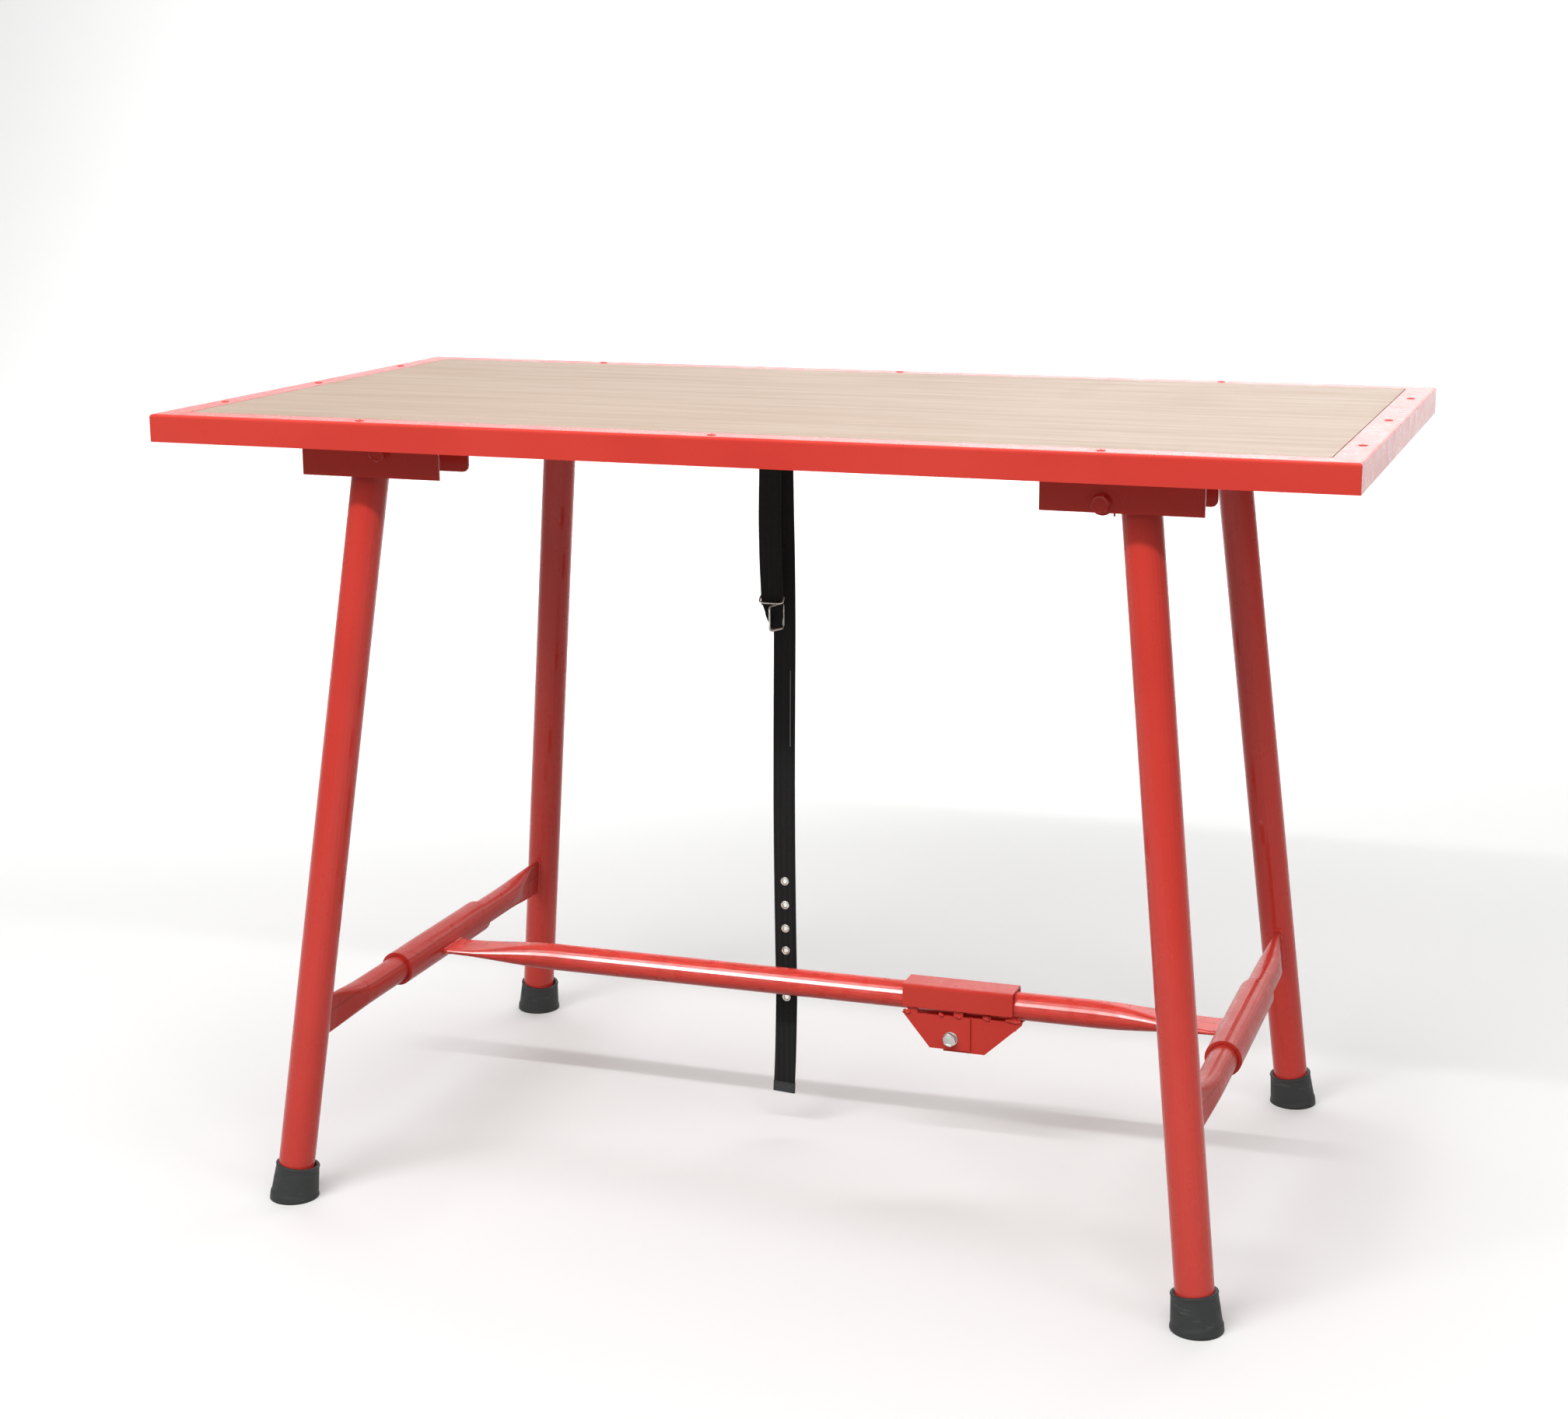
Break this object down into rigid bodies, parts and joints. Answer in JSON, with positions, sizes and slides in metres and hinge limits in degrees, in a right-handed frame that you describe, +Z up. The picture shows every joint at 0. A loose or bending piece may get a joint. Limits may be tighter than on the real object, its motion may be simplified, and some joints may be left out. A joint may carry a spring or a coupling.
{
  "type": "folding workbench",
  "caption": "Folding steel-framed workbench with a timber panel set in an angle-iron rim, splayed tubular leg frames, a hinged locking brace and a webbing strap.",
  "frame": {"origin": "on the floor, under the middle of the rectangular top", "axes": "+X along the long side of the top, towards the leg frame that the lock channel is nearer to; +Y to the rear long side; +Z up"},
  "size_m": [1.2, 0.668, 0.8312],
  "materials": {
    "red_paint": "gloss enamel over welded mild steel",
    "timber": "plain sanded board",
    "rubber": "matt moulded",
    "zinc": "zinc plated",
    "webbing": "woven webbing",
    "wire_steel": "nickel plated wire"
  },
  "bodies": {
    "tabletop": {"front_rail": "red_paint", "rear_rail": "red_paint", "left_rail": "red_paint", "right_rail": "red_paint", "worktop_panel": "timber", "left_cross_member": "red_paint", "right_cross_member": "red_paint", "panel_screw_1": "red_paint", "panel_screw_2": "red_paint", "panel_screw_3": "red_paint", "panel_screw_4": "red_paint", "panel_screw_5": "red_paint", "panel_screw_6": "red_paint", "panel_screw_7": "red_paint", "panel_screw_8": "red_paint", "panel_screw_9": "red_paint", "panel_screw_10": "red_paint", "panel_screw_11": "red_paint", "panel_screw_12": "red_paint", "left_front_bracket": "red_paint", "left_front_pivot_bolt": "red_paint", "left_front_pivot_nut": "red_paint", "left_rear_bracket": "red_paint", "left_rear_pivot_bolt": "red_paint", "left_rear_pivot_nut": "red_paint", "right_front_bracket": "red_paint", "right_front_pivot_bolt": "red_paint", "right_front_pivot_nut": "red_paint", "right_rear_bracket": "red_paint", "right_rear_pivot_bolt": "red_paint", "right_rear_pivot_nut": "red_paint", "strap_long_strand": "webbing", "strap_short_strand": "webbing", "strap_slide": "wire_steel", "strap_buckle": "wire_steel"},
    "left_leg_frame": {"left_front_leg": "red_paint", "left_front_foot": "rubber", "left_front_bush": "red_paint", "left_rear_leg": "red_paint", "left_rear_foot": "rubber", "left_rear_bush": "red_paint", "left_crossbar": "red_paint"},
    "right_leg_frame": {"right_front_leg": "red_paint", "right_front_foot": "rubber", "right_front_bush": "red_paint", "right_rear_leg": "red_paint", "right_rear_foot": "rubber", "right_rear_bush": "red_paint", "right_crossbar": "red_paint"},
    "left_brace": {"left_sleeve": "red_paint", "left_brace_tube": "red_paint", "left_front_hinge_plate": "red_paint", "left_rear_hinge_plate": "red_paint", "hinge_bolt": "zinc", "hinge_nut": "zinc"},
    "right_brace": {"right_sleeve": "red_paint", "right_brace_tube": "red_paint", "right_front_hinge_plate": "red_paint", "right_rear_hinge_plate": "red_paint", "lock_channel": "red_paint"}
  },
  "joints": [
    {"name": "left_leg_fold", "type": "hinge", "parent": "tabletop", "child": "left_leg_frame", "pos_m": [-0.37, 0, 0.794], "axis": [0, -1, 0], "range_deg": [0, 96.5]},
    {"name": "right_leg_fold", "type": "hinge", "parent": "tabletop", "child": "right_leg_frame", "pos_m": [0.363, 0, 0.777], "axis": [0, 1, 0], "range_deg": [0, 94.1], "deforming": ["strap_long_strand"]},
    {"name": "left_brace_swing", "type": "hinge", "parent": "left_leg_frame", "child": "left_brace", "pos_m": [-0.463, 0, 0.188], "axis": [0, 1, 0], "range_deg": [0, 274.6]},
    {"name": "right_brace_swing", "type": "hinge", "parent": "right_leg_frame", "child": "right_brace", "pos_m": [0.465, 0, 0.196], "axis": [0, 1, 0], "range_deg": [0, 93.4]}
  ],
  "couplings": [
    {"joint": "left_brace_swing", "follows": "left_leg_fold", "ratio": 2.8451},
    {"joint": "right_brace_swing", "follows": "right_leg_fold", "ratio": 0.99208}
  ]
}
